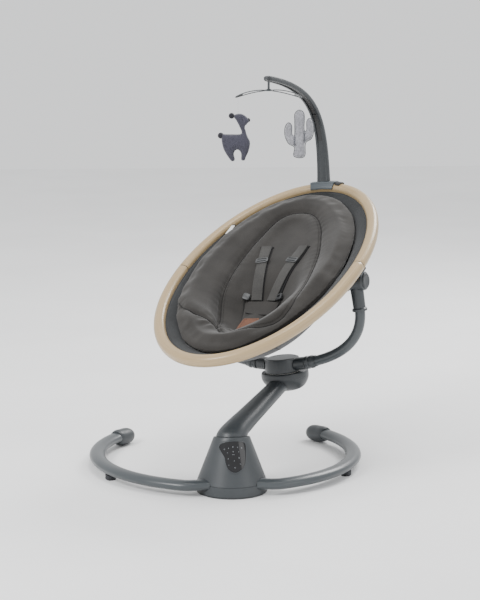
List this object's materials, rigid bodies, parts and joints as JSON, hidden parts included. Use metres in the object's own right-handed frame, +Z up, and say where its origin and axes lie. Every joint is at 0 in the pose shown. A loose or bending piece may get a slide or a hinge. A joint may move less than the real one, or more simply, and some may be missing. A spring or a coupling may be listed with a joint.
{
  "type": "baby swing",
  "caption": "Electronic baby swing: a padded bowl seat in an oval ring on a fork, carried by a swinging arm on a cone base with an open floor tube, with a toy bar and hanging plush toys.",
  "frame": {"origin": "on the floor under the base housing, where the swing axis meets the underside of the bottom plate", "axes": "+Z up, -Y to the front where the control panel is, +X to the right as seen from the front"},
  "size_m": [0.6432, 0.603, 0.8542],
  "materials": {
    "housing_plastic": "satin",
    "painted_tube": "satin",
    "dark_plastic": "matte",
    "panel_gloss": "gloss",
    "board": "satin",
    "steel": "brushed",
    "acetal": "satin",
    "foot_rubber": "matte",
    "ring_finish": "satin",
    "saddle_plastic": "satin",
    "bowl_fabric": "matte",
    "insert_fabric": "matte",
    "webbing": "matte",
    "patch_leather": "matte",
    "ribbon": "matte",
    "dark_plush": "matte",
    "silver_velour": "matte"
  },
  "bodies": {
    "base": {"base_housing": "housing_plastic", "bottom_plate": "dark_plastic", "control_panel": "panel_gloss", "control_bezel": "housing_plastic", "shaft_bush": "acetal", "geared_motor": "steel", "control_board": "board", "speaker": "dark_plastic", "power_inlet": "dark_plastic", "floor_tube_left": "painted_tube", "floor_tube_right": "painted_tube", "end_cap_left": "housing_plastic", "end_cap_right": "housing_plastic", "rubber_foot_left": "foot_rubber", "rubber_foot_right": "foot_rubber"},
    "swing_arm": {"swing_arm": "housing_plastic", "swing_shaft": "steel", "hub_cup": "housing_plastic", "turntable_spindle": "steel", "turntable_bearing": "acetal"},
    "turntable": {"hub_drum": "housing_plastic", "hub_lid": "housing_plastic", "fork_tube_left": "painted_tube", "fork_tube_right": "painted_tube", "fork_collar_left": "housing_plastic", "fork_collar_right": "housing_plastic", "fork_sleeve_left": "housing_plastic", "fork_sleeve_right": "housing_plastic", "pivot_housing_left": "housing_plastic", "pivot_housing_right": "housing_plastic"},
    "recline_button_left": {"recline_button_left": "housing_plastic"},
    "recline_button_right": {"recline_button_right": "housing_plastic"},
    "seat": {"seat_ring_head": "ring_finish", "seat_ring_foot": "ring_finish", "pivot_bracket_left": "housing_plastic", "pivot_bracket_right": "housing_plastic", "seat_bowl": "bowl_fabric", "seat_insert": "insert_fabric", "shoulder_strap_left": "webbing", "shoulder_strap_right": "webbing", "strap_adjuster_left": "dark_plastic", "strap_adjuster_right": "dark_plastic", "side_buckle_left": "dark_plastic", "side_buckle_right": "dark_plastic", "crotch_piece": "insert_fabric", "leather_patch": "patch_leather", "woven_tag": "ribbon"},
    "toy_bar": {"toy_bar_saddle": "saddle_plastic", "toy_bar_latch": "dark_plastic", "toy_bar_mast": "housing_plastic", "toy_bar_arch": "housing_plastic"},
    "mobile": {"mobile_stem": "housing_plastic", "mobile_bow": "housing_plastic"},
    "llama": {"llama_toy_string": "ribbon", "llama_toy": "dark_plush"},
    "cactus": {"cactus_toy_string": "ribbon", "cactus_toy": "silver_velour"}
  },
  "joints": [
    {"name": "arm_swing", "type": "hinge", "parent": "base", "child": "swing_arm", "pos_m": [0, 0, 0], "axis": [0, 0.1805, 0.9836], "range_deg": [-1.6, 68.3]},
    {"name": "seat_turntable", "type": "hinge", "parent": "swing_arm", "child": "turntable", "pos_m": [0.14691, 0.22842, 0.00794], "axis": [-0.0992, 0.0292, 0.9946], "continuous": true},
    {"name": "left_button_press", "type": "slide", "parent": "turntable", "child": "recline_button_left", "axis": [0.8353, -0.5407, 0.0992], "range_m": [0, 0.003], "stiffness_N_per_m": 400},
    {"name": "right_button_press", "type": "slide", "parent": "turntable", "child": "recline_button_right", "axis": [-0.8353, 0.5407, -0.0992], "range_m": [0, 0.003], "stiffness_N_per_m": 400},
    {"name": "seat_recline", "type": "hinge", "parent": "turntable", "child": "seat", "pos_m": [0.10708, 0.24015, 0.40719], "axis": [0.8353, -0.5407, 0.0992], "range_deg": [-12, 8]},
    {"name": "toy_bar_lift_off", "type": "slide", "parent": "seat", "child": "toy_bar", "axis": [-0.0992, 0.0292, 0.9946], "range_m": [0, 0.06]},
    {"name": "mobile_spin", "type": "hinge", "parent": "toy_bar", "child": "mobile", "pos_m": [0.09983, 0.30984, 0.84111], "axis": [0, 0, 1], "continuous": true},
    {"name": "llama_swing", "type": "hinge", "parent": "mobile", "child": "llama", "pos_m": [0.03268, 0.31442, 0.80691], "axis": [0.9977, -0.068, 0], "range_deg": [-30, 30]},
    {"name": "cactus_swing", "type": "hinge", "parent": "mobile", "child": "cactus", "pos_m": [0.16697, 0.30526, 0.80691], "axis": [0.9977, -0.068, 0], "range_deg": [-30, 30]}
  ]
}
